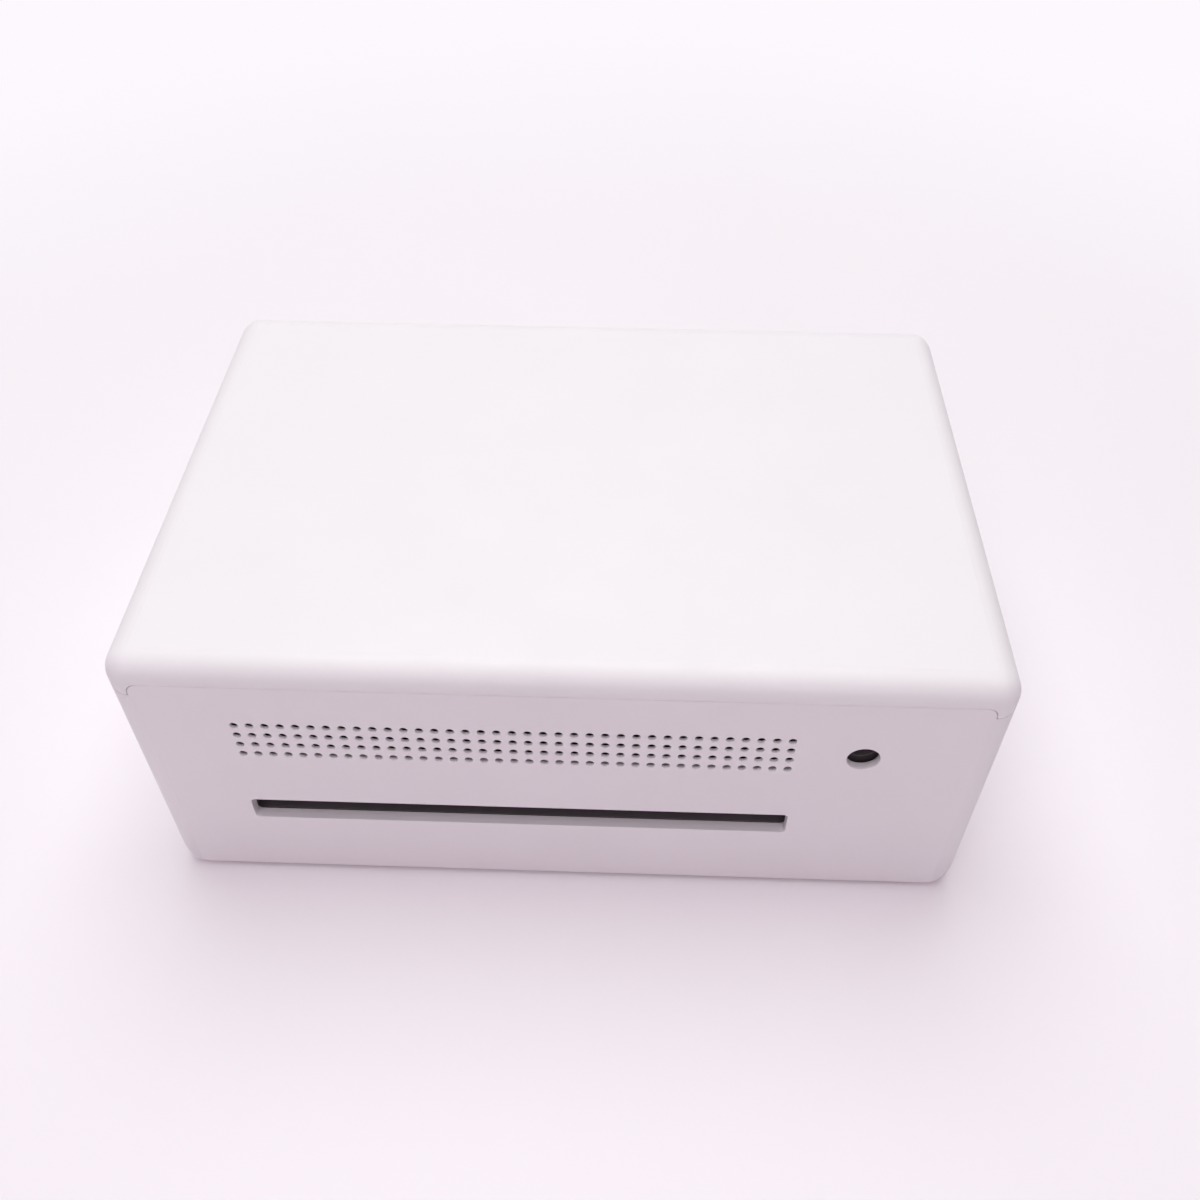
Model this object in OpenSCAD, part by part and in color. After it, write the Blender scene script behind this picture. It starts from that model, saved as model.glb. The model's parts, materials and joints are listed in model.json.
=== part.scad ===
// Compact dye-sublimation photo printer, real size, in millimetres.
// Front (tray door) faces -Y, rear (paper slot, vents, power inlet) faces +Y, +Z is up.
// The origin is on the supporting surface, under the middle of the body.

/* [Body] */
// Overall width
body_w = 172; // [160:1:210]
// Overall depth
body_d = 117; // [110:1:150]
// Overall height, feet included
body_h = 68; // [67:1:90]
// Thickness of the moulded casing walls
wall = 2; // [1.6:0.1:2.6]
// Radius of the upright corners and of the top edges
corner_r = 5; // [4:0.5:6]
// Radius of the two long bottom edges
bottom_r = 7; // [5:0.5:9]
// Height of the rubber feet below the casing
foot_h = 1.2; // [0.8:0.1:2.5]
// Depth of the returns of the front and rear panels along the sides
panel_depth = 7; // [6.5:0.5:9]
// Visible joint between two casing parts
seam_gap = 0.1; // [0.05:0.05:0.4]

/* [Top cover] */
// Depth of the cover's skirt on the two sides
skirt_h = 8; // [7:0.5:10]
// How much higher the joint runs on the front and rear faces than on the sides
notch_h = 3; // [2:0.5:4]
// Width of each corner tab of the cover on the front and rear faces
tab_w = 4.5; // [3.5:0.5:7]
// Radius where the joint steps up beside a corner tab
notch_r = 2.5; // [1.5:0.5:3]

/* [Rear panel] */
// Vent holes in a row
vent_columns = 37; // [10:1:37]
// Rows of vent holes
vent_rows = 4; // [1:1:5]
// Distance between vent holes
vent_pitch = 3; // [2.5:0.1:3]
// Diameter of a vent hole
vent_d = 1.6; // [1:0.1:2]
// Height of the lowest row of vent holes
vent_z = 42.4; // [40:0.2:46]
// Thickness that is left of the panel at the vents
thin_wall = 0.8; // [0.8:0.1:1.5]
// Length of the paper slot
slot_w = 112; // [106:0.5:114]
// Height of the paper slot
slot_h = 6.4; // [5:0.1:7]
// Height of the rim behind the slot, which makes its lip deeper than the wall
slot_rim = 0.4; // [0.2:0.1:1]
// How far the slot and the vents sit off the paper path's middle
rear_shift = 0.25; // [0:0.05:0.4]
// Height of the paper path above the supporting surface
paper_z = 23; // [22.5:0.1:23.5]
// Diameter of the power inlet hole
inlet_d = 6.5; // [6:0.1:8]
// Thickness that is left of the panel round the inlet
inlet_wall = 1.7; // [1:0.1:2]
// Distance of the power inlet from the middle
inlet_x = 59; // [58:0.5:61]
// Height of the power inlet
inlet_z = 46.4; // [46:0.2:48]

/* [Doors and button] */
// Width of the tray door's opening
tray_door_w = 114; // [110:1:115]
// Height of the tray door's opening
tray_door_h = 30; // [26:1:31]
// Width of the ribbon door's opening, along the side
ribbon_door_w = 78; // [77:1:80]
// Height of the ribbon door's opening
ribbon_door_h = 32; // [31.5:0.5:33]
// Gap all round a door
door_gap = 0.3; // [0.2:0.05:0.5]
// Diameter of the door hinge pins
hinge_pin_d = 2.4; // [2:0.1:2.6]
// Diameter of the power button
button_d = 9; // [7:0.5:11]
// Travel of the power button
button_travel = 0.6; // [0.4:0.1:1]

/* [Paper path] */
// Widest paper that fits
paper_w = 102; // [89:1:104]
// Distance of the paper path's middle from the body's middle, away from the drive
path_x = 9; // [8:0.5:10]
// Diameter of the platen roller
platen_d = 13; // [11:0.5:13]
// Diameter of the capstan roller
capstan_d = 9; // [8:0.5:10]
// Diameter of the pinch roller
pinch_d = 6; // [5:0.5:6]
// Diameter of the pickup tyre
pickup_d = 16; // [14:0.5:17]
// Length of the pickup tyre
pickup_w = 30; // [15:1:40]
// Diameter of the roller shafts
shaft_d = 5; // [4:0.5:6]
// Radial running clearance of a shaft in its bush
running_gap = 0.05; // [0.03:0.01:0.1]
// Thickness of the sheet-metal chassis
sheet_t = 1.2; // [1:0.1:1.5]

/* [Ribbon cartridge] */
// Outer radius of each trough of the cartridge
trough_r = 12.3; // [12:0.1:12.5]
// Wall thickness of the troughs
trough_t = 1.2; // [1:0.1:1.5]
// Radius of the unused ribbon on the supply spool
supply_r = 10.4; // [8:0.1:10.5]
// Radius of the used ribbon on the take-up spool
take_up_r = 7.4; // [6.5:0.1:10.5]
// Radius of a spool's core
core_r = 5.5; // [4.5:0.1:6]

/* [Gears] */
// Module of all the gears
gear_m = 0.6; // [0.59:0.01:0.61]
// Width of the gears
gear_w = 3; // [2:0.1:3]
// Teeth of the capstan gear
capstan_teeth = 40; // [38:1:41]
// Teeth of each idler gear
idler_teeth = 42; // [41:1:42]
// Teeth of the pickup gear
pickup_teeth = 30; // [28:1:32]
// Teeth of the take-up gear
take_up_teeth = 30; // [28:1:31]
// Teeth of the cam gear
cam_teeth = 24; // [22:1:25]
// Teeth of the motor pinions
pinion_teeth = 12; // [11:1:13]
// Thinning of each tooth for backlash
backlash = 0.12; // [0.05:0.01:0.2]

/* [Print head] */
// Angle that the print head swings down from its parked place
head_swing = 9; // [8:0.5:9]
// Angle that the cam turns to lower the print head
cam_turn = 150; // [120:5:160]
// Gap between the cam and the bracket that it pushes
cam_gap = 0.3; // [0.2:0.05:0.4]

/* [Hidden] */
$fn = 64;
eps = 0.01;

// Casing
half_w = body_w / 2;
half_d = body_d / 2;
floor_z = foot_h + wall;
side_joint_z = body_h - skirt_h;
face_joint_z = side_joint_z + notch_h;
panel_y = half_d - panel_depth;
rear_x = path_x + rear_shift;
slot_r = 1;
slot_rim_w = 1.4;
lip_t = 1;
lip_h = 1.6;
lip_fit = 0.15;

// Screw posts that hold the cover to the lower case
post_x = half_w - wall - 5.6;
post_y = panel_y - 4.6;
post_r = 3.4;
post_joint_z = 40;
screw_r = 1.3;
screw_head_r = 2.6;
well_depth = 5;
floor_rib = [1.2, 0.7];

// Sheet-metal chassis
side_gap = 7.3;
chassis_l = path_x - paper_w / 2 - side_gap - sheet_t;
chassis_r = path_x + paper_w / 2 + side_gap;
floor_rib_x = chassis_l + 5.5;
floor_rib_pitch = 30;
chassis_front = -half_d + 8.5;
chassis_rear = half_d - 8.1;
chassis_floor = floor_z + 1;
flange_w = 4;
window_r = 1.5;
plate_windows = [[[-42.5, 48], [9, 11]], [[28, 10], [26, 5]]];
tie_y = [-47, -39];
tie_z = [50, 56];

// Retaining rings in grooves at the shafts' ends, outside the right side plate
ring_t = 0.6;
ring_play = 0.05;
ring_r = shaft_d / 2 + 1.3;
groove_r = shaft_d / 2 - 0.5;
ring_x = chassis_r + sheet_t + 0.35;
shaft_end = ring_x + ring_t + 0.6;

// Places of the shafts in the Y-Z plane
seat_gap = 0.03;
sheet_clear = 0.2;
platen_c = [4, paper_z - sheet_clear - platen_d / 2];
capstan_c = [22, paper_z - sheet_clear - capstan_d / 2];
pinch_c = [22, paper_z + sheet_clear + pinch_d / 2];
pickup_c = [-40, paper_z - 1.5 + pickup_d / 2];
roller_l = path_x - paper_w / 2 - 2;
roller_len = paper_w + 4;

// Places of the ribbon spools
spool_z = paper_z + 19;
supply_c = [27, spool_z];
take_up_c = [-20, spool_z];
frame_l = roller_l - 2;
frame_r = roller_l + roller_len + 0.5;
frame_t = 1.5;
bridge_z = paper_z + 3;
bridge_h = 3.4;
bridge_rear = pinch_c[0] - pinch_d / 2 - 1;
flange_x = chassis_r + sheet_t + 0.3;
flange_r = trough_r + 1.8;
spool_flange_t = 1;
spool_flange_r = trough_r - trough_t - 0.3;
grip_x = half_w - wall - 6.5;

// Print head, drawn lowered and turned up to its parked place
pivot_c = [45, spool_z];
cam_c = [46.5, spool_z + 12];
chassis_top = cam_c[1] + 7;
cam_low_r = shaft_d / 2 + 0.5;
cam_high_r = cam_low_r + norm(cam_c - pivot_c) * (sin(head_swing) + 0.002);
head_face_y = cam_c[0] - cam_high_r - cam_gap;
head_top_z = spool_z + trough_r + 1.7;
head_y = platen_c[0];
head_tip_z = paper_z + 0.4;

// Gear layer on the outside of the chassis' drive side
gear_x = chassis_l - 0.7 - gear_w;
pitch_capstan = gear_m * capstan_teeth / 2;
pitch_idler = gear_m * idler_teeth / 2;
pitch_pickup = gear_m * pickup_teeth / 2;
pitch_take_up = gear_m * take_up_teeth / 2;
pitch_cam = gear_m * cam_teeth / 2;
pitch_pinion = gear_m * pinion_teeth / 2;
pressure_angle = 25;
web_depth = 0.8;
rim_t = 1.2;
front_idler_c = meeting_point(pickup_c, pitch_pickup + pitch_idler, -36);
rear_idler_c = triangle_point(front_idler_c, capstan_c, 2 * pitch_idler, pitch_idler + pitch_capstan);
feed_pinion_c = meeting_point(capstan_c, pitch_capstan + pitch_pinion, 100);
ribbon_pinion_c = meeting_point(take_up_c, pitch_take_up + pitch_pinion, 60);
lift_pinion_c = meeting_point(cam_c, pitch_cam + pitch_pinion, 180);

// Phase of each gear, so that the teeth mesh at rest
rear_idler_phase = mesh_phase(capstan_c, rear_idler_c, capstan_teeth, idler_teeth, 0);
front_idler_phase =
    mesh_phase(rear_idler_c, front_idler_c, idler_teeth, idler_teeth, rear_idler_phase);
pickup_phase =
    mesh_phase(front_idler_c, pickup_c, idler_teeth, pickup_teeth, front_idler_phase);
feed_pinion_phase = mesh_phase(capstan_c, feed_pinion_c, capstan_teeth, pinion_teeth, 0);
ribbon_pinion_phase = mesh_phase(take_up_c, ribbon_pinion_c, take_up_teeth, pinion_teeth, 0);
lift_pinion_phase = mesh_phase(cam_c, lift_pinion_c, cam_teeth, pinion_teeth, 0);

// Motor plate outside the gears
plate_x = gear_x - 1.6 - sheet_t;
plate_post_c = [[-33, 50], [0, 50], [38.5, 24], [24, 52]];

// Doors
door_t = wall;
knuckle_r = 1.8;
tray_door_z = floor_z + 1.5;
tray_hinge = [-half_d + knuckle_r, tray_door_z + door_gap + knuckle_r];
ribbon_door_y = (take_up_c[0] + supply_c[0]) / 2;
ribbon_door_z = bridge_z - 1;
ribbon_hinge = [half_w - knuckle_r, ribbon_door_z + door_gap + knuckle_r];
hinge_fit = 0.08;
pin_reach = 2.6;
pin_room = 0.3;
scoop_r = 16;
scoop_depth = 1.2;

// Power button and inlet
button_x = -68;
button_z = 47;
lens_z = 55;
lens_r = 1.2;
button_flange_r = button_d / 2 + 1.2;
board_t = 1.6;
button_stem = 3.2;
switch_h = 2;
button_board_y = -half_d + 0.1 + wall + button_stem + button_travel + 0.25 + switch_h;
board_boss_z = [39.5, 58];
jack_face_y = half_d - wall - 1;
jack_len = 13;
jack_w = 8;
jack_h = 11;
jack_axis_h = 6.5;

// Colours
casing_white = [0.93, 0.91, 0.93];
black_plastic = [0.12, 0.11, 0.12];
dark_grey = [0.25, 0.25, 0.27];
steel = [0.72, 0.73, 0.75];
rubber_black = [0.09, 0.09, 0.1];
gear_white = [0.88, 0.88, 0.84];
board_green = [0.07, 0.32, 0.18];
brass = [0.78, 0.62, 0.3];
film_red = [0.62, 0.16, 0.3];

// ---------------------------------------------------------------- functions

// The point at a distance and a direction from another
function meeting_point(c, r, a) = c + r * [cos(a), sin(a)];

// The point at distance ra from a and rb from b, on the left of the line from a to b
function triangle_point(a, b, ra, rb) =
    let(
        d = norm(b - a),
        u = (b - a) / d,
        s = (ra * ra - rb * rb + d * d) / (2 * d),
        h = sqrt(ra * ra - s * s)
    )
    a + s * u + h * [-u[1], u[0]];

// Phase of a driven gear whose teeth fall in the gaps of the gear that drives it
function mesh_phase(from, to, teeth_from, teeth_to, phase_from) =
    let(b = atan2(to[1] - from[1], to[0] - from[0]))
    b + 180 - 180 / teeth_to + teeth_from / teeth_to * (b - phase_from);

// Involute function in degrees at radius r over base radius rb
function involute(r, rb) =
    let(t = sqrt(max(r * r / (rb * rb) - 1, 0)))
    t * 180 / PI - atan(t);

// Half of a tooth's angle at radius r
function tooth_half(teeth, r) =
    let(
        rp = gear_m * teeth / 2,
        rb = rp * cos(pressure_angle)
    )
    90 / teeth - backlash / 2 / rp * 180 / PI + involute(rp, rb) - involute(max(r, rb), rb);

// Outline of a spur gear, six points a tooth
function gear_points(teeth) =
    let(
        rp = gear_m * teeth / 2,
        radii = [rp - 1.2 * gear_m, rp - 0.1 * gear_m, rp + 0.9 * gear_m]
    )
    [
        for (i = [0:teeth - 1], side = [-1, 1], k = [0:2])
            let(
                r = radii[side < 0 ? k : 2 - k],
                a = 360 * i / teeth + side * tooth_half(teeth, r)
            )
            r * [cos(a), sin(a)]
    ];

// Radius of the head cam, which grows evenly from the parked head's direction on
function cam_radius(a) =
    let(share = (a - head_swing) / (cam_turn - head_swing))
    cam_low_r + (cam_high_r - cam_low_r) * min(max(share, 0), 1);

// ---------------------------------------------------------------- helpers

// Draws a Y-Z outline and gives it a length along X from x
module lateral(x, len) {
    translate([x, 0, 0]) rotate([90, 0, 90]) linear_extrude(len) children();
}

// Draws an X-Z outline and gives it a length along Y from y
module lengthwise(y, len) {
    translate([0, y + len, 0]) rotate([90, 0, 0]) linear_extrude(len) children();
}

module rod(x, len, c, r) {
    lateral(x, len) translate(c) circle(r);
}

module round_rect(w, d, r) {
    square([w - 2 * r, d], center = true);
    square([w, d - 2 * r], center = true);
    for (sx = [-1, 1], sy = [-1, 1])
        translate([sx * (w / 2 - r), sy * (d / 2 - r)]) circle(r);
}

// X-Z outline of the lower casing, with rounded bottom corners, open upwards
module tub_outline(inset) {
    r = bottom_r - inset;
    w = body_w - 2 * inset;
    z = foot_h + inset;
    translate([-w / 2, z + r]) square([w, body_h]);
    translate([-w / 2 + r, z]) square([w - 2 * r, body_h]);
    for (s = [-1, 1])
        translate([s * (w / 2 - r), z + r]) circle(r);
}

// A block with rounded upright corners and rounded top edges
module pillow(inset) {
    r = corner_r - inset;
    w = body_w - 2 * inset;
    d = body_d - 2 * inset;
    top = body_h - inset;
    linear_extrude(top - r) round_rect(w, d, r);
    translate([-w / 2 + r, -d / 2 + r, 0]) cube([w - 2 * r, d - 2 * r, top]);
    for (s = [-1, 1]) {
        lateral(-w / 2 + r, w - 2 * r) translate([s * (d / 2 - r), top - r]) circle(r);
        lengthwise(-d / 2 + r, d - 2 * r) translate([s * (w / 2 - r), top - r]) circle(r);
        for (sy = [-1, 1])
            translate([s * (w / 2 - r), sy * (d / 2 - r), top - r]) sphere(r);
    }
}

// The room above the joint between the cover and the rest of the casing
module above_joint(gap) {
    translate([-body_w, -body_d, side_joint_z + gap]) cube([2 * body_w, 2 * body_d, body_h]);
}

// X-Z outline of the faces' raised part, which fills the notch between the cover's tabs
module notch_outline(gap) {
    w = body_w - 2 * tab_w - 2 * gap;
    z = side_joint_z - eps;
    h = notch_h - gap + eps;
    translate([-w / 2, z]) square([w, h - notch_r]);
    translate([-w / 2 + notch_r, z]) square([w - 2 * notch_r, h]);
    for (s = [-1, 1])
        translate([s * (w / 2 - notch_r), z + h - notch_r]) circle(notch_r);
}

// A screw with a pan head, standing on its head, with the thread shown as a plain shank
module screw(head_r, head_h, shank_r, len) {
    difference() {
        cylinder(r = head_r, h = head_h);
        for (a = [0, 90])
            rotate(a) translate([-head_r * 0.6, -0.3, -eps]) cube([head_r * 1.2, 0.6, head_h / 2]);
    }
    cylinder(r = shank_r, h = head_h + len);
}

// A spur gear. One with a hub has a thinner web, which has holes where there is room
module gear(teeth, c, phase, hub_r, bore_r) {
    rim_r = gear_m * (teeth / 2 - 1.2) - rim_t;
    lateral(gear_x, gear_w) translate(c)
        difference() {
            rotate(phase) polygon(gear_points(teeth));
            circle(hub_r > 0 ? rim_r : bore_r);
        }
    if (hub_r > 0) {
        lateral(gear_x + web_depth, gear_w - 2 * web_depth) translate(c)
            difference() {
                circle(rim_r + rim_t / 4);
                circle(bore_r);
                if (rim_r - hub_r > 4) web_holes(hub_r, rim_r);
            }
        lateral(gear_x - 0.6, gear_w + 0.9) translate(c)
            difference() {
                circle(hub_r);
                circle(bore_r);
            }
    }
}

module web_holes(hub_r, rim_r) {
    for (a = [36:72:324])
        rotate(a) translate([(rim_r + hub_r) / 2, 0]) circle((rim_r - hub_r) / 2 - 0.9);
}

// A shaft from x to its end outside the right side plate, with the groove for its ring
module grooved_shaft(x, c) {
    difference() {
        rod(x, shaft_end - x, c, shaft_d / 2);
        lateral(ring_x, ring_t) translate(c)
            difference() {
                circle(shaft_d);
                circle(groove_r);
            }
    }
}

// Retaining ring, open downwards
module retaining_ring(c) {
    gap = groove_r * 1.4;
    color(steel)
        lateral(ring_x + ring_play, ring_t - 2 * ring_play) translate(c)
            difference() {
                circle(ring_r);
                circle(groove_r + seat_gap);
                translate([-gap / 2, -ring_r - 1]) square([gap, ring_r + 1]);
            }
}

// ---------------------------------------------------------------- casing

module lower_case() {
    color(casing_white)
        difference() {
            union() {
                lower_shell();
                case_posts();
                chassis_pads();
                floor_ribs();
                panel_tongues();
                board_bosses();
                side_hinge() hinge_blocks(ribbon_door_w);
            }
            for (sx = [-1, 1], sy = [-1, 1])
                translate([sx * post_x, sy * post_y, 0]) {
                    cylinder(r = screw_r + 0.2, h = body_h);
                    cylinder(r = screw_head_r + 0.3, h = foot_h + well_depth);
                }
            foot_seats();
            chassis_screw_holes();
            ribbon_door_opening();
            side_hinge() hinge_bores(ribbon_door_w);
        }
}

module lower_shell() {
    difference() {
        lengthwise(-panel_y, 2 * panel_y) tub_outline(0);
        lengthwise(-panel_y - 1, 2 * panel_y + 2) tub_outline(wall);
        above_joint(0);
    }
}

module case_posts() {
    for (sx = [-1, 1], sy = [-1, 1])
        translate([sx * post_x, sy * post_y, foot_h + 1]) {
            cylinder(r = post_r, h = post_joint_z - foot_h - 1);
            cylinder(r = screw_head_r + 1.5, h = well_depth + 0.5);
        }
    // Webs that tie the tall posts to the side walls
    web_low = foot_h + bottom_r;
    web_top = post_joint_z - 4;
    web_w = half_w - wall - post_x;
    for (sx = [-1, 1], sy = [-1, 1])
        translate([sx * (post_x + web_w / 2), sy * post_y, (web_low + web_top) / 2])
            cube([web_w + 0.4, 1.2, web_top - web_low], center = true);
}

// Pads that carry the chassis just above the floor
module chassis_pads() {
    for (x = [chassis_l + 8, chassis_r - 8], y = [chassis_front + 8, chassis_rear - 8])
        translate([x, y, floor_z - 0.5]) cylinder(r = 4, h = chassis_floor - floor_z + 0.5);
}

// Low stiffening ribs on the floor, under the chassis
module floor_ribs() {
    for (i = [0:3])
        translate([floor_rib_x + i * floor_rib_pitch - floor_rib[0] / 2, -panel_y + 2, floor_z - eps])
            cube([floor_rib[0], 2 * panel_y - 4, floor_rib[1] + eps]);
    for (y = [-30, 0, 30])
        translate([-half_w + bottom_r + 4, y - floor_rib[0] / 2, floor_z - eps])
            cube([body_w - 2 * bottom_r - 8, floor_rib[0], floor_rib[1] + eps]);
}

module chassis_screw_holes() {
    for (x = [chassis_l + 8, chassis_r - 8], y = [chassis_front + 8, chassis_rear - 8])
        translate([x, y, chassis_floor - 1.6]) cylinder(r = screw_r, h = 5);
}

// Bosses on the side wall that carry the main board
module board_bosses() {
    for (y = board_screw_y, z = board_screw_z)
        difference() {
            rod(-half_w + wall - eps, board_x + half_w - wall + eps, [y, z], 2.6);
            rod(-half_w + wall - 1, 4, [y, z], 1.05);
        }
}

// Tongues that reach into the front and rear panels and line them up
module panel_tongues() {
    for (s = [-1, 1])
        intersection() {
            lengthwise(s < 0 ? -panel_y - lip_h : panel_y - 1, lip_h + 1)
                difference() {
                    tub_outline(wall + lip_fit);
                    tub_outline(wall + lip_fit + lip_t);
                }
            translate([-body_w, -body_d, foot_h]) cube([2 * body_w, 2 * body_d, 45]);
        }
}

module foot_seats() {
    for (sx = [-1, 1], sy = [-1, 1])
        translate([sx * (half_w - 22), sy * (panel_y - 8), foot_h - eps])
            cylinder(r = 5.2, h = 0.6 + eps);
}

module ribbon_door_opening() {
    translate([
        half_w - wall - 1,
        ribbon_door_y - ribbon_door_w / 2,
        ribbon_door_z
    ])
        cube([wall + 2, ribbon_door_w, ribbon_door_h]);
}

// Blocks beside a door's opening that hold the ends of its hinge pins.
// In the door's frame: x along the hinge, y inwards, hinge axis at the origin
module hinge_blocks(opening_w) {
    r = hinge_pin_d / 2 + 1.4;
    for (s = [-1, 1])
        translate([s > 0 ? opening_w / 2 : -opening_w / 2 - pin_reach - 1.4, 0, 0]) {
            intersection() {
                rotate([0, 90, 0]) cylinder(r = r, h = pin_reach + 1.4);
                translate([-1, -knuckle_r + 0.5, -10]) cube([20, 20, 20]);
            }
        }
}

module hinge_bores(opening_w) {
    for (s = [-1, 1])
        translate([s > 0 ? opening_w / 2 - 0.5 : -opening_w / 2 - pin_reach - pin_room + door_gap, 0, 0])
            rotate([0, 90, 0])
                cylinder(d = hinge_pin_d + 2 * hinge_fit, h = pin_reach + pin_room - door_gap + 0.5);
}

module front_hinge() {
    translate([path_x, tray_hinge[0], tray_hinge[1]]) children();
}

module side_hinge() {
    translate([ribbon_hinge[0], ribbon_door_y, ribbon_hinge[1]]) rotate(90) children();
}

// A face panel with its returns: s is 1 for the rear and -1 for the front
module face_panel(s) {
    difference() {
        intersection() {
            lengthwise(s > 0 ? panel_y + seam_gap : -half_d, panel_depth - seam_gap)
                union() {
                    difference() {
                        tub_outline(0);
                        translate([-body_w, side_joint_z]) square([2 * body_w, body_h]);
                    }
                    notch_outline(seam_gap);
                }
            linear_extrude(body_h) round_rect(body_w, body_d, corner_r);
        }
        intersection() {
            lengthwise(s > 0 ? 0 : -half_d + wall, half_d - wall) tub_outline(wall);
            linear_extrude(body_h)
                round_rect(body_w - 2 * wall, body_d - 2 * wall, corner_r - wall);
        }
    }
}

module rear_panel() {
    color(casing_white)
        difference() {
            union() {
                face_panel(1);
                slot_block(slot_rim_w, half_d - wall + eps, slot_rim + eps);
            }
            vents();
            slot_block(0, half_d + 1, wall + slot_rim + 2);
            translate([-inlet_x, half_d - wall - 1, inlet_z])
                rotate([-90, 0, 0]) cylinder(d = inlet_d, h = wall + 2);
            thinned_wall();
        }
}

// A block of the slot's outline, grown by an amount, from y inwards
module slot_block(grow, y, depth) {
    translate([rear_x, y, paper_z]) rotate([90, 0, 0])
        linear_extrude(depth) round_rect(slot_w + 2 * grow, slot_h + 2 * grow, slot_r + grow);
}

// Pockets on the inside that leave the panel thinner at the vents and round the inlet
module thinned_wall() {
    w = vent_columns * vent_pitch;
    h = vent_rows * vent_pitch;
    translate([rear_x, half_d - thin_wall, vent_z + (vent_rows - 1) / 2 * vent_pitch])
        rotate([90, 0, 0]) linear_extrude(wall) round_rect(w, h, 1);
    translate([-inlet_x, half_d - inlet_wall, inlet_z])
        rotate([90, 0, 0]) cylinder(d = inlet_d + 3, h = wall);
}

module vents() {
    first_x = rear_x - (vent_columns - 1) / 2 * vent_pitch;
    for (i = [0:vent_columns - 1], j = [0:vent_rows - 1])
        translate([first_x + i * vent_pitch, half_d - wall - 1, vent_z + j * vent_pitch])
            rotate([-90, 0, 0]) cylinder(d = vent_d, h = wall + 2, $fn = 16);
}

module front_panel() {
    color(casing_white)
        difference() {
            union() {
                face_panel(-1);
                front_hinge() hinge_blocks(tray_door_w);
                button_board_bosses();
            }
            front_hinge() hinge_bores(tray_door_w);
            translate([path_x - tray_door_w / 2, -half_d - 1, tray_door_z])
                cube([tray_door_w, wall + 2, tray_door_h]);
            translate([button_x, -half_d - 1, button_z])
                rotate([-90, 0, 0]) cylinder(r = button_d / 2 + 0.2, h = wall + 2);
            translate([button_x, -half_d - 1, lens_z])
                rotate([-90, 0, 0]) cylinder(r = lens_r, h = wall + 2);
        }
}

// Bosses behind the front panel that carry the button's board
module button_board_bosses() {
    for (z = board_boss_z)
        translate([button_x + 6, -half_d + wall - eps, z]) rotate([-90, 0, 0])
            difference() {
                cylinder(r = 2.4, h = button_board_y + half_d - wall + eps);
                translate([0, 0, 1]) cylinder(r = 1.05, h = 20);
            }
}

module top_cover() {
    color(casing_white) {
        difference() {
            union() {
                intersection() {
                    pillow(0);
                    above_joint(seam_gap);
                }
                cover_lip();
            }
            difference() {
                pillow(wall);
                translate([-body_w, -body_d, -1]) cube([2 * body_w, 2 * body_d, 1]);
            }
            notch_cuts();
        }
        cover_posts();
        cover_ribs();
    }
}

// The lip inside the side joint
module cover_lip() {
    lip_x = half_w - wall - lip_fit - lip_t / 2;
    for (s = [-1, 1])
        translate([s * lip_x - lip_t / 2, -panel_y + 14, side_joint_z - lip_h])
            cube([lip_t, 2 * panel_y - 28, lip_h + 3]);
}

module notch_cuts() {
    for (s = [-1, 1])
        translate([0, s < 0 ? -half_d - 1 : half_d - wall - 1, 0])
            lengthwise(0, wall + 2)
                difference() {
                    notch_outline(0);
                    translate([-body_w, 0]) square([2 * body_w, side_joint_z]);
                }
}

module cover_posts() {
    for (sx = [-1, 1], sy = [-1, 1])
        translate([sx * post_x, sy * post_y, post_joint_z])
            difference() {
                cylinder(r = post_r, h = body_h - wall - post_joint_z + eps);
                translate([0, 0, -eps]) cylinder(r = screw_r - 0.1 + seat_gap, h = 14);
            }
}

// Low stiffening ribs under the roof
module cover_ribs() {
    for (x = [-60, -30, 0, 30, 60])
        translate([x - 0.6, -half_d + 9, body_h - wall - 0.9])
            cube([1.2, body_d - 18, 0.9 + eps]);
}

module rubber_feet() {
    color(rubber_black)
        for (sx = [-1, 1], sy = [-1, 1])
            translate([sx * (half_w - 22), sy * (panel_y - 8), 0]) {
                translate([0, 0, 0.4]) cylinder(r = 5, h = foot_h + 0.2);
                cylinder(r1 = 4.6, r2 = 5, h = 0.4);
            }
}

module case_screws() {
    color(steel)
        for (sx = [-1, 1], sy = [-1, 1])
            translate([sx * post_x, sy * post_y, foot_h + well_depth - 1.8])
                screw(screw_head_r, 1.8, screw_r - 0.1, 42);
}

// ---------------------------------------------------------------- doors and button

// Door panel in its own frame: x along the hinge, y inwards, z up, hinge axis at the origin
module door_leaf(len, height) {
    difference() {
        union() {
            translate([-len / 2, -knuckle_r, 0]) cube([len, door_t, height - knuckle_r]);
            translate([-len / 2, 0, 0]) rotate([0, 90, 0]) cylinder(r = knuckle_r, h = len);
            for (x = [-len / 2 + 8, len / 2 - 9.2])
                translate([x, -knuckle_r + door_t - eps, knuckle_r + 2])
                    cube([1.2, 1.2, height - knuckle_r * 2 - 5]);
            translate([-len / 2 - pin_reach, 0, 0])
                rotate([0, 90, 0]) cylinder(d = hinge_pin_d, h = len + 2 * pin_reach);
        }
        // Finger scoop in the middle of the free edge
        translate([0, -knuckle_r - scoop_r + scoop_depth, height - knuckle_r - 2]) sphere(scoop_r);
    }
}

module tray_door() {
    color(casing_white)
        front_hinge() door_leaf(tray_door_w - 2 * door_gap, tray_door_h - 2 * door_gap);
}

module ribbon_door() {
    color(casing_white)
        side_hinge() door_leaf(ribbon_door_w - 2 * door_gap, ribbon_door_h - 2 * door_gap);
}

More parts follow.
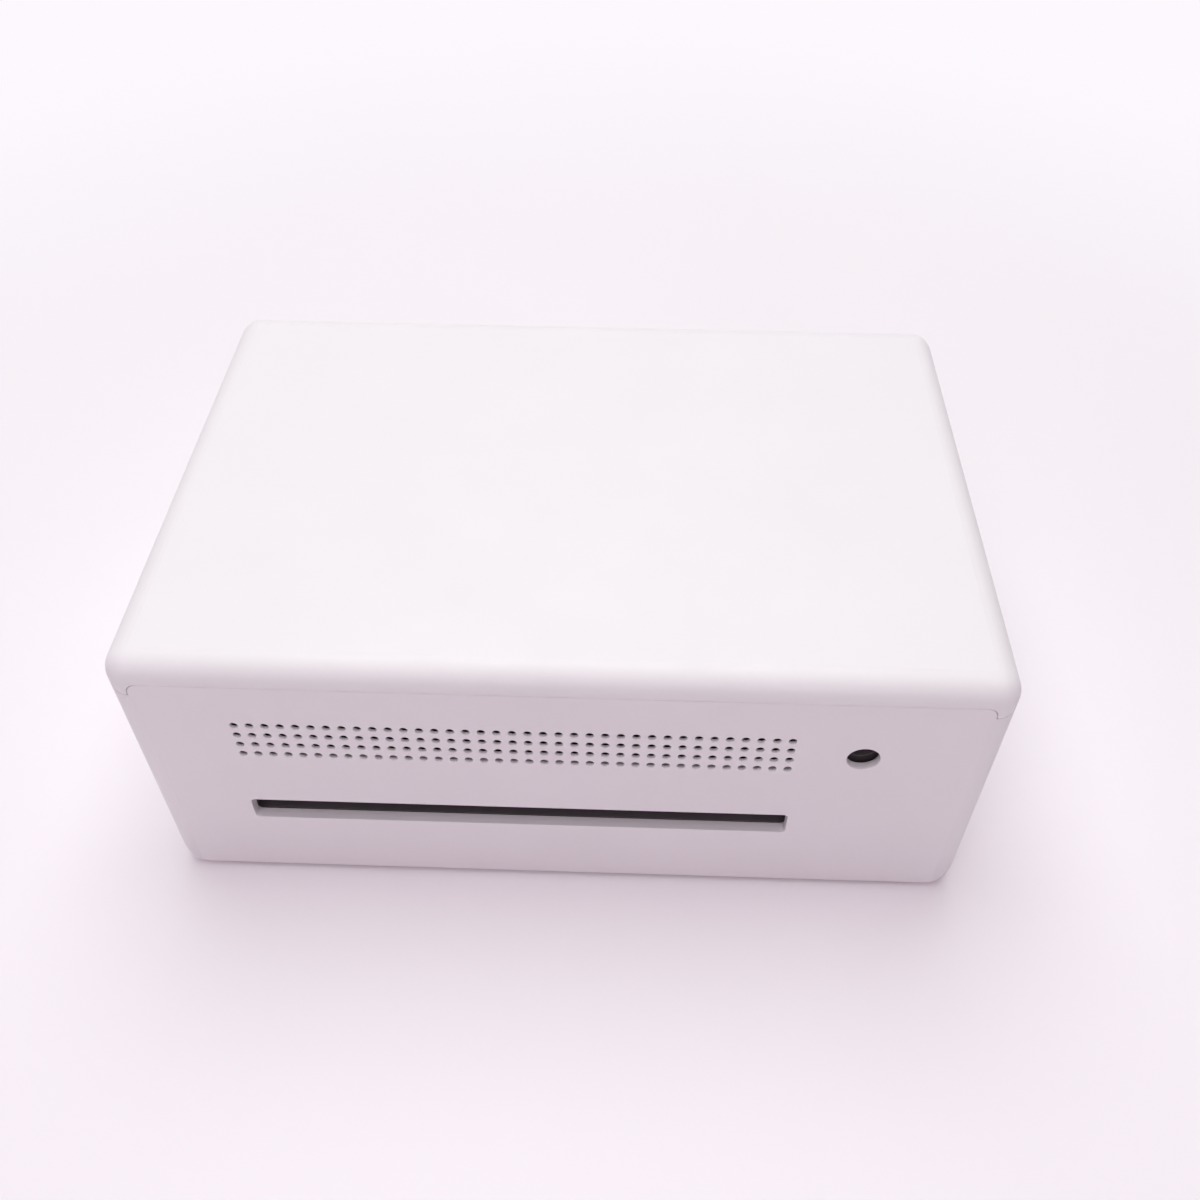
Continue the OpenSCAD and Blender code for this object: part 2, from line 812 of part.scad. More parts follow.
module power_button() {
    color(casing_white)
        translate([button_x, -half_d + 0.1, button_z]) rotate([-90, 0, 0])
            difference() {
                union() {
                    cylinder(d = button_d, h = wall + 1);
                    translate([0, 0, wall + 0.1]) cylinder(r = button_flange_r, h = 1);
                    cylinder(r = 1.5, h = wall + button_stem);
                }
                translate([0, 0, -24 + 0.35]) sphere(24);
            }
}

module status_lens() {
    color([0.75, 0.85, 0.95])
        translate([button_x, -half_d + 0.1, lens_z]) rotate([-90, 0, 0]) {
            cylinder(r = lens_r - 0.1, h = wall);
            translate([0, 0, wall - 0.1])
                cylinder(r = lens_r + 0.8, h = button_board_y + half_d - wall - 1.2);
        }
}

module button_board() {
    color(board_green)
        difference() {
            translate([button_x - 5.5, button_board_y, button_z - 11]) cube([15, board_t, 25]);
            for (z = board_boss_z)
                translate([button_x + 6, button_board_y - 1, z])
                    rotate([-90, 0, 0]) cylinder(r = 1.15, h = board_t + 2);
        }
    color(dark_grey)
        translate([button_x - 3, button_board_y - switch_h, button_z - 3])
            cube([6, switch_h + eps, 6]);
}

// ---------------------------------------------------------------- chassis

module chassis() {
    color(steel)
        difference() {
            union() {
                lateral(chassis_l, sheet_t) side_plate_outline();
                lateral(chassis_r, sheet_t) difference() {
                    side_plate_outline();
                    cartridge_way();
                }
                translate([chassis_l, chassis_front + 2, chassis_floor])
                    cube([chassis_r - chassis_l + sheet_t, chassis_rear - chassis_front - 4, sheet_t]);
                front_tie();
                // Bent edge that stiffens the plate with the cartridge's cut-out
                translate([chassis_r, chassis_front + 12, chassis_top - sheet_t])
                    cube([sheet_t + flange_w, chassis_rear - chassis_front - 30, sheet_t]);
            }
            rod(chassis_l - 1, sheet_t + 2, take_up_c, shaft_d / 2 + 1.5 + seat_gap);
            for (x = [chassis_l + 8, chassis_r - 8], y = [chassis_front + 8, chassis_rear - 8])
                translate([x, y, chassis_floor - 1]) cylinder(r = screw_r + 0.2, h = 5);
            for (x = [chassis_l + 30, path_x, chassis_r - 30])
                translate([x, 2, chassis_floor - 1]) cylinder(r = 7, h = 5);
        }
}

// Angle between the side plates, above the paper tray
module front_tie() {
    len = chassis_r - chassis_l + sheet_t;
    translate([chassis_l, tie_y[0], tie_z[1]]) cube([len, tie_y[1] - tie_y[0], sheet_t]);
    translate([chassis_l, tie_y[0], tie_z[0]]) cube([len, sheet_t, tie_z[1] - tie_z[0] + eps]);
}

module side_plate_outline() {
    difference() {
        union() {
            translate([chassis_front, chassis_floor])
                square([chassis_rear - chassis_front, chassis_top - chassis_floor - 6]);
            translate([chassis_front + 6, chassis_floor])
                square([chassis_rear - chassis_front - 12, chassis_top - chassis_floor]);
            for (y = [chassis_front + 6, chassis_rear - 6])
                translate([y, chassis_top - 6]) circle(6);
        }
        for (c = [platen_c, capstan_c, pickup_c, cam_c])
            translate(c) circle(shaft_d / 2 + 1.5 + seat_gap);
        translate(pinch_c) circle(1.5 + running_gap);
        for (w = plate_windows)
            translate(w[0]) round_rect(w[1][0], w[1][1], window_r);
    }
}

// The cut-out through which the cartridge slides in and out
module cartridge_way() {
    translate([take_up_c[0] - trough_r - 1, spool_z - trough_r - 0.8])
        square([supply_c[0] - take_up_c[0] + 2 * trough_r + 2, 2 * trough_r + 1.8]);
    translate([take_up_c[0] - 7, bridge_z - 0.8])
        square([bridge_rear - take_up_c[0] + 7.8, 10]);
}

module tray_guide() {
    color(black_plastic)
        for (s = [-1, 1]) {
            x = s < 0 ? chassis_l + sheet_t : chassis_r - 3;
            translate([x, chassis_front, chassis_floor + sheet_t])
                difference() {
                    cube([3, 42, 12]);
                    translate([s < 0 ? 1.2 : -1, -1, 1.4]) cube([2.8, 44, 7.8]);
                }
        }
}

// Black chute that leads the paper to the rear slot
module rear_paper_guide() {
    front = 30;
    rear = half_d - wall - slot_rim - 0.3;
    color(black_plastic)
        difference() {
            lateral(chassis_l + sheet_t, chassis_r - chassis_l - sheet_t)
                polygon([
                    [front, paper_z - 3.8], [rear, paper_z - slot_h / 2 - 1.6],
                    [rear, paper_z + slot_h / 2 + 1.6], [front, paper_z + 3.8]
                ]);
            lateral(chassis_l + sheet_t + 1.6, chassis_r - chassis_l - sheet_t - 3.2)
                polygon([
                    [front - 1, paper_z - 2.3], [rear + 1, paper_z - slot_h / 2 - 0.3],
                    [rear + 1, paper_z + slot_h / 2 + 0.3], [front - 1, paper_z + 2.3]
                ]);
        }
}

// Flanged bushes that carry the shafts in both side plates
module shaft_bushes() {
    color(brass) {
        for (c = [platen_c, capstan_c, pickup_c, cam_c, take_up_c]) bush(chassis_l, c, false);
        for (c = [platen_c, capstan_c, pickup_c, cam_c]) bush(chassis_r, c, true);
    }
}

module bush(x, c, right) {
    difference() {
        union() {
            rod(x - 0.2, sheet_t + 0.4, c, shaft_d / 2 + 1.5);
            rod(right ? x - 0.6 : x + sheet_t, 0.6, c, shaft_d / 2 + 2.3);
        }
        rod(x - 1, sheet_t + 2, c, shaft_d / 2 + running_gap);
    }
}

module chassis_screws() {
    color(steel)
        for (x = [chassis_l + 8, chassis_r - 8], y = [chassis_front + 8, chassis_rear - 8])
            translate([x, y, chassis_floor + sheet_t + 1.4]) rotate([180, 0, 0])
                screw(2.6, 1.4, screw_r - 0.05, 2.4);
}

// ---------------------------------------------------------------- rollers

module platen_roller() {
    color(rubber_black) rod(roller_l, roller_len, platen_c, platen_d / 2);
    color(steel) grooved_shaft(chassis_l - 0.3, platen_c);
}

module capstan_roller() {
    color(steel) {
        rod(roller_l, roller_len, capstan_c, capstan_d / 2);
        grooved_shaft(gear_x - 0.8, capstan_c);
    }
}

module pinch_roller() {
    color(rubber_black) rod(roller_l, roller_len, pinch_c, pinch_d / 2);
    color(steel) rod(chassis_l - 0.3, chassis_r - chassis_l + sheet_t + 0.8, pinch_c, 1.5);
}

module pickup_shaft() {
    color(steel) grooved_shaft(gear_x - 0.8, pickup_c);
}

module pickup_tyre() {
    color(dark_grey)
        lateral(path_x - pickup_w / 2, pickup_w) translate(pickup_c)
            difference() {
                circle(pickup_d / 2);
                circle(shaft_d / 2 + seat_gap);
                for (a = [0:20:340])
                    rotate(a) translate([pickup_d / 2, 0]) circle(0.45, $fn = 16);
            }
}

module platen_ring() retaining_ring(platen_c);
module capstan_ring() retaining_ring(capstan_c);
module pickup_ring() retaining_ring(pickup_c);
module cam_ring() retaining_ring(cam_c);

// ---------------------------------------------------------------- drive

module capstan_gear() {
    color(gear_white) gear(capstan_teeth, capstan_c, 0, 4, shaft_d / 2 + seat_gap);
}

module idler_gear_rear() {
    color(gear_white) gear(idler_teeth, rear_idler_c, rear_idler_phase, 3.5, 2 + running_gap);
}

module idler_gear_front() {
    color(gear_white) gear(idler_teeth, front_idler_c, front_idler_phase, 3.5, 2 + running_gap);
}

module pickup_gear() {
    color(gear_white) gear(pickup_teeth, pickup_c, pickup_phase, 4, shaft_d / 2 + seat_gap);
}

// Pins riveted to the side plate, on which the idler gears turn
module idler_pins() {
    color(steel)
        for (c = [rear_idler_c, front_idler_c]) {
            rod(gear_x - 0.8, chassis_l - gear_x + 0.8, c, 2);
            rod(gear_x - 1.2, 0.5, c, 3);
        }
}

// A motor on the motor plate: can with flats, end cap, rear bearing and two terminals
module motor(c, r, len, height) {
    cap = 2.4;
    color(steel) lateral(plate_x - len + cap, len - cap) translate(c) can_outline(r, height);
    color(black_plastic)
        lateral(plate_x - len, cap + eps) translate(c) can_outline(r - 0.5, height - 1);
    color(brass) rod(plate_x - len - 1.5, 1.6, c, r * 0.35);
    color(brass)
        for (s = [-1, 1])
            translate([plate_x - len - 2.2, c[0] + s * r * 0.62 - 1, c[1] - 0.2]) cube([2.3, 2, 0.4]);
}

module can_outline(r, height) {
    intersection() {
        circle(r);
        square([2 * r, height], center = true);
    }
}

module pinion(c, phase) {
    color(brass)
        lateral(gear_x, gear_w) translate(c) rotate(phase) polygon(gear_points(pinion_teeth));
    color(steel) rod(plate_x + 0.1, gear_x - plate_x, c, 0.9);
}

module feed_motor() motor(feed_pinion_c, 12.5, 14, 25);
module ribbon_motor() motor(ribbon_pinion_c, 7.8, 19, 12);
module lift_motor() motor(lift_pinion_c, 6, 16, 10);

module feed_pinion() pinion(feed_pinion_c, feed_pinion_phase);
module ribbon_pinion() pinion(ribbon_pinion_c, ribbon_pinion_phase);
module lift_pinion() pinion(lift_pinion_c, lift_pinion_phase);

// Plate outside the gears that carries the three motors, on spacers from the chassis
module motor_plate() {
    color(steel) {
        lateral(plate_x, sheet_t)
            difference() {
                motor_plate_outline();
                for (c = [feed_pinion_c, ribbon_pinion_c, lift_pinion_c])
                    translate(c) circle(1.2);
            }
        for (c = plate_post_c)
            rod(plate_x + sheet_t, chassis_l - plate_x - sheet_t, c, 2.2);
    }
}

module motor_plate_outline() {
    translate([-36, 44]) square([77, 14]);
    translate([6, 20]) square([35, 34]);
}

module take_up_drive() {
    dog_x = chassis_l + sheet_t + 1;
    color(gear_white) gear(take_up_teeth, take_up_c, 0, 4, shaft_d / 2);
    color(steel) {
        rod(gear_x - 0.8, dog_x - gear_x + 0.8, take_up_c, shaft_d / 2);
        lateral(dog_x - eps, frame_l + 2.4 - dog_x) translate(take_up_c) circle(1.9, $fn = 6);
    }
}

module cam_shaft() {
    color(steel) grooved_shaft(gear_x - 0.8, cam_c);
    color(gear_white)
        for (x = [chassis_l + 12, chassis_r - 16])
            lateral(x, 5) translate(cam_c) polygon(cam_points());
}

// Cam outline: lowest towards the head at rest, growing against the turn
function cam_points() = [
    for (a = [0:10:350])
        let(
            r = a <= cam_turn ? cam_radius(a)
                : max(cam_high_r - (a - cam_turn) * (cam_high_r - cam_low_r) / 60, cam_low_r)
        )
        r * [cos(180 - a), sin(180 - a)]
];

module cam_gear() {
    color(gear_white) gear(cam_teeth, cam_c, 0, 0, shaft_d / 2 + seat_gap);
}

// ---------------------------------------------------------------- print head

// Draws a piece in the lowered place and turns it up to the parked place
module parked() {
    translate([0, pivot_c[0], pivot_c[1]]) rotate([-head_swing, 0, 0])
        translate([0, -pivot_c[0], -pivot_c[1]]) children();
}

module head_bracket() {
    left = chassis_l + sheet_t + 0.9;
    right = chassis_r - 0.9;
    color(steel)
        parked() {
            translate([left, head_y - 6, head_top_z])
                cube([right - left, head_face_y - head_y + 6, sheet_t]);
            difference() {
                translate([left, head_face_y - sheet_t, spool_z - 4])
                    cube([right - left, sheet_t, head_top_z - spool_z + 4 + eps]);
                for (x = [left + 26 : 20 : right - 30])
                    translate([x, head_face_y - sheet_t - 1, spool_z + 1]) cube([12, sheet_t + 2, 8]);
            }
            for (x = [left, right - sheet_t])
                lateral(x, sheet_t)
                    difference() {
                        polygon([
                            [head_face_y - sheet_t, spool_z - 5], [pivot_c[0] + 3.4, spool_z - 5],
                            [pivot_c[0] + 3.4, spool_z + 4], [head_face_y, spool_z + 8],
                            [head_face_y, head_top_z + sheet_t], [head_face_y - sheet_t, head_top_z + sheet_t]
                        ]);
                        translate(pivot_c) circle(2 + running_gap);
                    }
        }
}

module heatsink() {
    len = roller_len - 1;
    color([0.8, 0.81, 0.82])
        parked()
            lateral(roller_l + 0.5, len)
                union() {
                    translate([head_y - 1.6, paper_z + 7]) square([3.2, head_top_z - paper_z - 7]);
                    translate([head_y - 4, paper_z + 7]) square([8, 2.4]);
                    translate([head_y - 5, head_top_z - 2.4]) square([10, 2.4]);
                    for (z = [paper_z + 12 : 3.4 : head_top_z - 5])
                        translate([head_y - 5, z]) square([10, 1]);
                }
}

module thermal_head() {
    color([0.9, 0.88, 0.82])
        parked()
            lateral(roller_l + 0.5, roller_len - 1)
                polygon([
                    [head_y - 4, paper_z + 7], [head_y - 4, paper_z + 3],
                    [head_y - 1.2, head_tip_z], [head_y + 1.2, head_tip_z],
                    [head_y + 4, paper_z + 3], [head_y + 4, paper_z + 7]
                ]);
}

// Pins on the side plates on which the head bracket swings
module head_pins() {
    color(steel) {
        rod(chassis_l + sheet_t, 3, pivot_c, 2);
        rod(chassis_r - 3, 3, pivot_c, 2);
    }
}

// ---------------------------------------------------------------- ribbon cartridge

module cartridge_frame() {
    color(dark_grey)
        difference() {
            union() {
                lateral(frame_l, frame_r - frame_l + frame_t)
                    trough_outline();
                for (x = [frame_l, frame_r]) lateral(x, frame_t) end_plate_outline();
                cartridge_grip();
            }
            for (c = [supply_c, take_up_c])
                rod(frame_l - 1, frame_r - frame_l + frame_t + 2.2, c, 4 + running_gap);
        }
}

// Two C-shaped troughs, open towards the film between them
module trough_outline() {
    for (c = [supply_c, take_up_c])
        translate(c)
            difference() {
                circle(trough_r);
                circle(trough_r - trough_t);
                mouth_outline(c == supply_c ? -1 : 1);
            }
}

// The mouth of a trough, where the film leaves it downwards
module mouth_outline(s) {
    polygon([[0, 0], [s * 20, -4], [s * 20, -30], [s * 2.5, -30]]);
}

// End plate: a disc on each trough, joined by a bridge low enough to slide under the parked head
module end_plate_outline() {
    for (c = [supply_c, take_up_c]) translate(c) circle(trough_r);
    translate([take_up_c[0] - 6, bridge_z]) square([bridge_rear - take_up_c[0] + 6, bridge_h]);
    translate([take_up_c[0] - 6, bridge_z]) square([12, spool_z - trough_r - bridge_z + 2]);
    translate([bridge_rear - 3, bridge_z]) square([3, spool_z - trough_r - bridge_z + 7]);
}

// The flange that stops on the side plate, and the grip by which the cartridge is pulled out
module cartridge_grip() {
    for (c = [supply_c, take_up_c])
        rod(frame_r + frame_t - eps, flange_x - frame_r - frame_t + 2 * eps, c, 7);
    lateral(flange_x, 1.5) {
        for (c = [supply_c, take_up_c]) translate(c) circle(flange_r);
        translate([take_up_c[0], spool_z - flange_r])
            square([supply_c[0] - take_up_c[0], 2 * flange_r]);
    }
    translate([flange_x, ribbon_door_y - 14, spool_z - 1]) cube([grip_x - flange_x, 28, 2]);
    lateral(grip_x - 1.5, 1.5) translate([ribbon_door_y - 14, spool_z - 4]) square([28, 8]);
    for (dy = [-9:6:9])
        lateral(grip_x - eps, 0.5) translate([ribbon_door_y + dy - 0.6, spool_z - 3]) square([1.2, 6]);
}

// A spool: core, journals in the end plates and flanges beside the ribbon
module spool(c) {
    inner_l = frame_l + frame_t + 0.3;
    inner_r = frame_r - 0.3;
    for (x = [inner_l, inner_r - spool_flange_t]) rod(x, spool_flange_t, c, spool_flange_r);
    rod(inner_l, inner_r - inner_l, c, core_r);
    rod(frame_l - 0.6, frame_r - frame_l + frame_t + 1.2, c, 4);
}

module supply_spool() {
    color(gear_white) spool(supply_c);
}

module take_up_spool() {
    color(gear_white)
        difference() {
            spool(take_up_c);
            lateral(frame_l - 1, 4) translate(take_up_c) circle(2.1, $fn = 6);
        }
}

module ribbon_roll(c, r) {
    lateral(path_x - paper_w / 2 - 0.5, paper_w + 1) translate(c)
        difference() {
            circle(r);
            circle(core_r + seat_gap);
        }
}

module supply_ribbon() {
    color(film_red) ribbon_roll(supply_c, supply_r);
}

module take_up_ribbon() {
    color(film_red) ribbon_roll(take_up_c, take_up_r);
}

// The film between the rolls, under the parked head
module ribbon_film() {
    t = 0.15;
    dip = spool_z - trough_r - 0.6;
    path = [
        take_up_c + (take_up_r + 0.2) * [cos(-55), sin(-55)],
        [take_up_c[0] + 11, dip],
        [supply_c[0] - 11, dip],
        supply_c + (supply_r + 0.2) * [cos(-125), sin(-125)]
    ];
    color(film_red)
        lateral(path_x - paper_w / 2 - 0.5, paper_w + 1)
            polygon(concat(path, [for (i = [3:-1:0]) path[i] - [0, t]]));
}

// Lever that keeps the cartridge in place behind its door
latch_c = [supply_c[0] + flange_r + 5, spool_z - 8];
latch_x = flange_x + 1.5 + 0.3;
latch_t = 2.4;
latch_reach = 6.8;

module cartridge_latch() {
    color(dark_grey) {
        lateral(latch_x, latch_t)
            difference() {
                union() {
                    translate(latch_c) circle(3.4);
                    translate(latch_c + [-1.5, 0]) square([3, 15]);
                    translate(latch_c + [-latch_reach, 11]) square([latch_reach + 1.5, 4]);
                }
                translate(latch_c) circle(1.5 + running_gap);
            }
        // Thumb tab
        translate([latch_x, latch_c[0] - latch_reach, latch_c[1] + 13.8])
            cube([latch_t + 1.6, latch_reach + 1.5, 1.2]);
    }
}

module latch_pin() {
    color(steel) {
        rod(chassis_r + sheet_t, latch_x - 0.3 - chassis_r - sheet_t, latch_c, 3);
        rod(chassis_r + sheet_t, latch_x + latch_t + 0.3 - chassis_r - sheet_t, latch_c, 1.5);
        rod(latch_x + latch_t + 0.25, 0.6, latch_c, 2.4);
    }
}

// ---------------------------------------------------------------- electronics

board_x = -half_w + wall + 1.6;
main_board_y = [-41, 33];
main_board_z = [10, 56];
board_screw_y = [main_board_y[0] + 4, main_board_y[1] - 4];
board_screw_z = [main_board_z[0] + 4, main_board_z[1] - 4];

module main_board() {
    color(board_green)
        difference() {
            translate([board_x, main_board_y[0], main_board_z[0]])
                cube([board_t, main_board_y[1] - main_board_y[0], main_board_z[1] - main_board_z[0]]);
            for (y = board_screw_y, z = board_screw_z)
                rod(board_x - 1, board_t + 2, [y, z], 1.15);
        }
}

module main_board_parts() {
    x = board_x + board_t;
    color(dark_grey) {
        translate([x, -20, 16]) cube([1.2, 14, 14]);
        translate([x, -40, 30]) cube([1, 8, 12]);
        translate([x, -26, 38]) cube([1, 8, 10]);
        translate([x, 10, 12]) cube([2.4, 12, 5]);
        translate([x, -40, 22]) cube([2.4, 12, 5]);
    }
    color(steel)
        for (y = [2, 12])
            translate([x, y, 50]) rotate([0, 90, 0]) cylinder(r = 3.2, h = 3);
}

power_board_z = inlet_z - jack_axis_h - board_t;

module power_board() {
    color(board_green)
        translate([-74, 41.5, power_board_z])
            difference() {
                cube([74 + chassis_l - 1.5, jack_face_y - 1 - 41.5, board_t]);
                translate([-post_x + 74, post_y - 41.5, -1]) cylinder(r = post_r + 0.5, h = 4);
            }
}

module power_jack() {
    color(black_plastic)
        difference() {
            translate([-inlet_x - jack_w / 2, jack_face_y - jack_len, power_board_z + board_t])
                cube([jack_w, jack_len, jack_h]);
            translate([-inlet_x, jack_face_y + 1, inlet_z])
                rotate([90, 0, 0]) cylinder(r = 2.9, h = 10.5);
        }
    color(steel)
        translate([-inlet_x, jack_face_y - 0.8, inlet_z]) rotate([90, 0, 0]) cylinder(r = 1, h = 10);
}

module board_screws() {
    color(steel) {
        for (y = board_screw_y, z = board_screw_z)
            translate([board_x + board_t + 1.2, y, z]) rotate([0, -90, 0])
                screw(2.2, 1.2, 1, board_t + 1.4);
        for (z = board_boss_z)
            translate([button_x + 6, button_board_y + board_t + 1.2, z]) rotate([90, 0, 0])
                screw(2.2, 1.2, 1, board_t + 1.4);
    }
}

lower_case();
front_panel();
rear_panel();
top_cover();
rubber_feet();
case_screws();
tray_door();
ribbon_door();
power_button();
status_lens();
button_board();
chassis();
tray_guide();
rear_paper_guide();
shaft_bushes();
chassis_screws();
platen_roller();
capstan_roller();
pinch_roller();
pickup_shaft();
pickup_tyre();
capstan_gear();
idler_gear_rear();
idler_gear_front();
pickup_gear();
idler_pins();
feed_motor();
feed_pinion();
ribbon_motor();
ribbon_pinion();
lift_motor();
lift_pinion();
motor_plate();
take_up_drive();
cam_shaft();
cam_gear();
platen_ring();
capstan_ring();
pickup_ring();
cam_ring();
head_bracket();
heatsink();
thermal_head();
head_pins();
cartridge_frame();
supply_spool();
supply_ribbon();
take_up_spool();
take_up_ribbon();
ribbon_film();
cartridge_latch();
latch_pin();
main_board();
main_board_parts();
power_board();
power_jack();
board_screws();
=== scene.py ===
"""Looks of the compact photo printer: materials, moulded edges, film, floor, light and camera."""

import json
import math

import bmesh
import bpy
from mathutils import Matrix, Vector


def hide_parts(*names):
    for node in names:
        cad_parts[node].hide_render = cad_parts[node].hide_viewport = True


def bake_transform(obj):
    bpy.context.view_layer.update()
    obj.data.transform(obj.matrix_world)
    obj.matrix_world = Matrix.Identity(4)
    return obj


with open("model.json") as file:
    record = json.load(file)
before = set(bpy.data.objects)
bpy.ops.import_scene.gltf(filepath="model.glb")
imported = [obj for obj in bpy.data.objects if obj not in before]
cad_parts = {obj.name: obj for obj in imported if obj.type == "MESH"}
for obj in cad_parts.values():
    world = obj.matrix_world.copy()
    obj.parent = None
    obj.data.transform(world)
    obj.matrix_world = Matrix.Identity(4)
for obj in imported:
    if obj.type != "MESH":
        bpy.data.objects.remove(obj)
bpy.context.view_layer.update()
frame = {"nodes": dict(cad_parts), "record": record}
MM = 0.001

# ---------------------------------------------------------------- material helpers

# The middle of a noise's range, where nearly all its values lie
NOISE_RANGE = (0.3, 0.7)
# Plastic: size of the mottling, and size of the gloss patches and how far they take its roughness
MOTTLE_MM = 22.0
PLASTIC_PATCH_MM = 9.0
PLASTIC_PATCH = 0.05
# Metal: size of the gloss clouds and how far they take its roughness, and depth of the streaks
METAL_CLOUD_MM = 14.0
METAL_CLOUD = 0.08
STREAK_DEPTH_MM = 0.004
# Circuit board: size and depth of the tracks
TRACK_MM = 3.5
TRACK_DEPTH_MM = 0.02


def new_material(name):
    """A material with its node tree and its Principled shader."""
    mat = bpy.data.materials.new(name)
    mat.use_nodes = True
    tree = mat.node_tree
    shader = tree.nodes["Principled BSDF"]
    return mat, tree, shader


def node(tree, kind, **values):
    """A node of that kind, with sockets and properties set by name."""
    made = tree.nodes.new(kind)
    for key, value in values.items():
        if key in made.inputs:
            made.inputs[key].default_value = value
        else:
            setattr(made, key, value)
    return made


def noise(tree, size_mm, detail, stretch=(1, 1, 1)):
    """Noise whose features are about size_mm across, in the object's own space."""
    place = node(tree, "ShaderNodeTexCoord")
    mapping = node(tree, "ShaderNodeMapping")
    scale = 1 / (size_mm * MM)
    mapping.inputs["Scale"].default_value = [scale * s for s in stretch]
    tree.links.new(place.outputs["Object"], mapping.inputs["Vector"])
    made = node(tree, "ShaderNodeTexNoise", Detail=detail)
    made.inputs["Scale"].default_value = 1.0
    tree.links.new(mapping.outputs["Vector"], made.inputs["Vector"])
    return made.outputs["Fac"]


def spread(tree, fac, low, high):
    """Maps the middle of a noise's range to low..high."""
    made = node(tree, "ShaderNodeMapRange")
    made.inputs["From Min"].default_value = NOISE_RANGE[0]
    made.inputs["From Max"].default_value = NOISE_RANGE[1]
    made.inputs["To Min"].default_value = low
    made.inputs["To Max"].default_value = high
    tree.links.new(fac, made.inputs["Value"])
    return made.outputs["Result"]


def tint(tree, fac, dark, light):
    """Mixes two colours over the middle of a noise's range."""
    ramp = node(tree, "ShaderNodeValToRGB")
    ramp.color_ramp.elements[0].position = NOISE_RANGE[0]
    ramp.color_ramp.elements[0].color = (*dark, 1)
    ramp.color_ramp.elements[1].position = NOISE_RANGE[1]
    ramp.color_ramp.elements[1].color = (*light, 1)
    tree.links.new(fac, ramp.inputs["Fac"])
    return ramp.outputs["Color"]


def bump(tree, shader, height, depth_mm, strength=1.0):
    """Bump of that depth on the shader's normal."""
    made = node(tree, "ShaderNodeBump", Strength=strength)
    made.inputs["Distance"].default_value = depth_mm * MM
    tree.links.new(height, made.inputs["Height"])
    tree.links.new(made.outputs["Normal"], shader.inputs["Normal"])


def scaled(colour, share):
    """The colour, darkened or lightened by a factor."""
    return tuple(c * share for c in colour)


def moulded(name, colour, roughness, grain_mm, grain_depth_mm, vary, **sockets):
    """Moulded plastic or rubber: fine spark-eroded grain, slow mottling and uneven gloss."""
    mat, tree, shader = new_material(name)
    mottle = noise(tree, MOTTLE_MM, detail=3.0)
    colour_out = tint(tree, mottle, scaled(colour, 1 - vary), colour)
    tree.links.new(colour_out, shader.inputs["Base Color"])
    patchy = noise(tree, PLASTIC_PATCH_MM, detail=4.0)
    gloss = spread(tree, patchy, roughness - PLASTIC_PATCH, roughness + PLASTIC_PATCH)
    tree.links.new(gloss, shader.inputs["Roughness"])
    bump(tree, shader, noise(tree, grain_mm, detail=3.0), grain_depth_mm)
    for key, value in sockets.items():
        shader.inputs[key.replace("_", " ")].default_value = value
    return mat


def metal(name, colour, roughness, stretch, streak_mm, vary=0.12):
    """Metal with streaks of drawing, rolling or turning along one direction."""
    mat, tree, shader = new_material(name)
    shader.inputs["Metallic"].default_value = 1.0
    streaks = noise(tree, streak_mm, detail=4.0, stretch=stretch)
    colour_out = tint(tree, streaks, scaled(colour, 1 - vary), colour)
    tree.links.new(colour_out, shader.inputs["Base Color"])
    cloud = noise(tree, METAL_CLOUD_MM, detail=3.0)
    gloss = spread(tree, cloud, roughness - METAL_CLOUD, roughness + METAL_CLOUD)
    tree.links.new(gloss, shader.inputs["Roughness"])
    bump(tree, shader, streaks, STREAK_DEPTH_MM)
    return mat


def board(name, colour):
    """Circuit board: solder resist with faint tracks under it."""
    mat, tree, shader = new_material(name)
    place = node(tree, "ShaderNodeTexCoord")
    mapping = node(tree, "ShaderNodeMapping")
    mapping.inputs["Scale"].default_value = (1 / (TRACK_MM * MM),) * 3
    tree.links.new(place.outputs["Object"], mapping.inputs["Vector"])
    tracks = node(tree, "ShaderNodeTexBrick", Scale=1.0)
    tracks.inputs["Mortar Size"].default_value = 0.06
    tracks.inputs["Color1"].default_value = (*colour, 1)
    tracks.inputs["Color2"].default_value = (*scaled(colour, 0.85), 1)
    tracks.inputs["Mortar"].default_value = (*scaled(colour, 1.9), 1)
    tree.links.new(mapping.outputs["Vector"], tracks.inputs["Vector"])
    tree.links.new(tracks.outputs["Color"], shader.inputs["Base Color"])
    shader.inputs["Roughness"].default_value = 0.32
    bump(tree, shader, tracks.outputs["Fac"], TRACK_DEPTH_MM, strength=0.6)
    return mat


# ---------------------------------------------------------------- materials, one per finish

CASING = (0.866, 0.828, 0.856)
